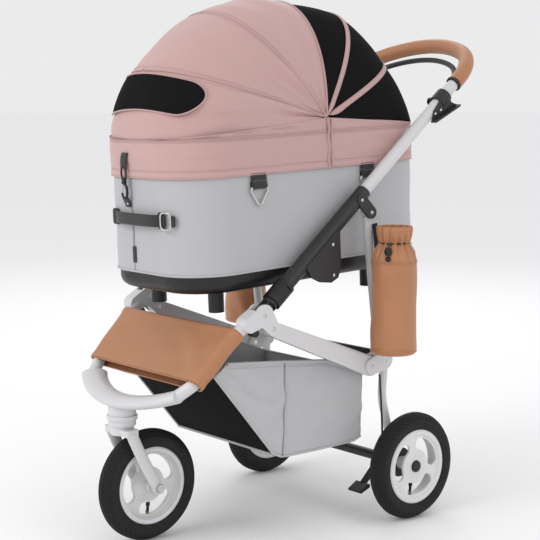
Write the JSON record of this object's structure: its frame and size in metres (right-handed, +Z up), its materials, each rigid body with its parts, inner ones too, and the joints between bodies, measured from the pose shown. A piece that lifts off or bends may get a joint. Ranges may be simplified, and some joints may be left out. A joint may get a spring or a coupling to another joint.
{
  "type": "pet stroller",
  "caption": "Folding wheeled frame with a swivelling front wheel that carries a lift-off pet coach with a domed fabric canopy, a storage basket, a leather grip and bottle pouches",
  "frame": {"origin": "on the ground under the middle of the bounding box", "axes": "+Z up, the front (swivel wheel) faces -Y, +X is the left-hand side for someone who pushes and looks toward the front"},
  "size_m": [0.651, 0.9536, 1.1103],
  "materials": {
    "frame_white": "satin powder coat",
    "frame_charcoal": "satin powder coat",
    "tyre": "matte rubber",
    "rim_white": "satin",
    "gloss_black": "gloss",
    "black_plastic": "satin",
    "rubber_black": "matte",
    "steel": "zinc plated",
    "tan_leather": "smooth, semi gloss",
    "wall_grey": "smooth coated cloth",
    "inner_plastic": "satin",
    "cushion_grey": "brushed cloth",
    "canopy_pink": "matte woven cloth",
    "mesh_black": "open mesh",
    "webbing": "woven webbing"
  },
  "bodies": {
    "chassis": {"sleeve_left": "frame_charcoal", "sleeve_right": "frame_charcoal", "handle_tube": "frame_white", "handle_grip": "tan_leather", "lever_clamps": "black_plastic", "wing_brackets": "frame_charcoal", "frame_rivets": "steel", "rear_strut_left": "frame_white", "rear_strut_right": "frame_white", "rear_brackets": "frame_white", "rear_leg_left": "frame_white", "rear_leg_right": "frame_white", "rear_cross_bar": "frame_charcoal", "rear_axle": "frame_charcoal", "brake_drums": "black_plastic", "brake_cables": "black_plastic", "brake_springs": "steel", "pouch_left": "tan_leather", "pouch_right": "tan_leather", "pouch_toggles": "black_plastic", "basket_shell": "wall_grey"},
    "front_frame": {"front_tube_left": "frame_white", "front_tube_right": "frame_white", "front_brackets": "frame_white", "hub_crown": "frame_white", "footrest_cover": "tan_leather", "rubber_bumpers": "rubber_black", "front_pivot_pins": "steel"},
    "side_rails": {"side_rail_left": "frame_white", "side_rail_right": "frame_white"},
    "caster": {"caster_fork": "frame_white", "front_axle_bolt": "steel"},
    "front_wheel": {"front_tyre": "tyre", "front_rim": "rim_white"},
    "rear_wheel_left": {"rear_tyre_left": "tyre", "rear_rim_left": "rim_white", "rear_cap_left": "gloss_black"},
    "rear_wheel_right": {"rear_tyre_right": "tyre", "rear_rim_right": "rim_white", "rear_cap_right": "gloss_black"},
    "brake_lever": {"brake_lever": "black_plastic"},
    "lock_collar_left": {"lock_collar_left": "gloss_black"},
    "lock_collar_right": {"lock_collar_right": "gloss_black"},
    "brake_pedal": {"brake_pedal": "black_plastic"},
    "coach": {"coach_tray": "gloss_black", "coach_wall": "wall_grey", "coach_cushion": "cushion_grey", "coach_rim": "inner_plastic", "coach_anchors": "black_plastic", "canopy_band": "canopy_pink", "canopy_rear_mesh": "mesh_black", "carry_strap": "webbing", "clip_strap": "webbing", "anchor_rings": "steel", "ring_webbing": "webbing"},
    "canopy_mid": {"canopy_mid_bow": "inner_plastic", "canopy_rear_panel": "canopy_pink"},
    "canopy_front": {"canopy_front_bow": "inner_plastic", "canopy_front_panel": "mesh_black", "canopy_mid_panel": "canopy_pink"}
  },
  "joints": [
    {"name": "frame_fold", "type": "hinge", "parent": "chassis", "child": "front_frame", "pos_m": [0, -0.22265, 0.4745], "axis": [1, 0, 0], "range_deg": [0, 28], "deforming": ["basket_shell"]},
    {"name": "rail_pivot", "type": "hinge", "parent": "chassis", "child": "side_rails", "pos_m": [0, 0.07535, 0.336], "axis": [1, 0, 0], "range_deg": [-3.4, 0.1]},
    {"name": "caster_swivel", "type": "hinge", "parent": "front_frame", "child": "caster", "pos_m": [0, -0.42165, 0.272], "axis": [0, 0, 1], "continuous": true},
    {"name": "front_wheel_spin", "type": "hinge", "parent": "caster", "child": "front_wheel", "pos_m": [0, -0.36165, 0.115], "axis": [1, 0, 0], "continuous": true},
    {"name": "rear_wheel_spin_left", "type": "hinge", "parent": "chassis", "child": "rear_wheel_left", "pos_m": [-0.245, 0.15835, 0.115], "axis": [1, 0, 0], "continuous": true},
    {"name": "rear_wheel_spin_right", "type": "hinge", "parent": "chassis", "child": "rear_wheel_right", "pos_m": [0.245, 0.15835, 0.115], "axis": [1, 0, 0], "continuous": true},
    {"name": "brake_lever_squeeze", "type": "hinge", "parent": "chassis", "child": "brake_lever", "pos_m": [0, 0.29133, 0.89492], "axis": [1, 0, 0], "range_deg": [0, 10], "stiffness_Nm_per_rad": 3},
    {"name": "lock_slide_left", "type": "slide", "parent": "chassis", "child": "lock_collar_left", "axis": [0, 0.7683, 0.6401], "range_m": [0, 0.01], "stiffness_N_per_m": 300},
    {"name": "lock_slide_right", "type": "slide", "parent": "chassis", "child": "lock_collar_right", "axis": [0, 0.7683, 0.6401], "range_m": [0, 0.01], "stiffness_N_per_m": 300},
    {"name": "brake_pedal_press", "type": "hinge", "parent": "chassis", "child": "brake_pedal", "pos_m": [0.153, 0.15835, 0.115], "axis": [1, 0, 0], "range_deg": [0, 20]},
    {"name": "coach_lift", "type": "slide", "parent": "chassis", "child": "coach", "axis": [0, 0, 1], "range_m": [0, 0.3]},
    {"name": "canopy_open", "type": "hinge", "parent": "coach", "child": "canopy_mid", "pos_m": [0, -0.02652, 0.86196], "axis": [-1, 0, 0], "range_deg": [0, 35], "deforming": ["canopy_rear_panel"]},
    {"name": "canopy_front_fold", "type": "hinge", "parent": "canopy_mid", "child": "canopy_front", "pos_m": [0, -0.02652, 0.86196], "axis": [-1, 0, 0], "range_deg": [0, 35], "deforming": ["canopy_mid_panel"]}
  ],
  "couplings": [
    {"joint": "rail_pivot", "follows": "frame_fold", "ratio": -0.12},
    {"joint": "canopy_front_fold", "follows": "canopy_open", "ratio": 1}
  ]
}
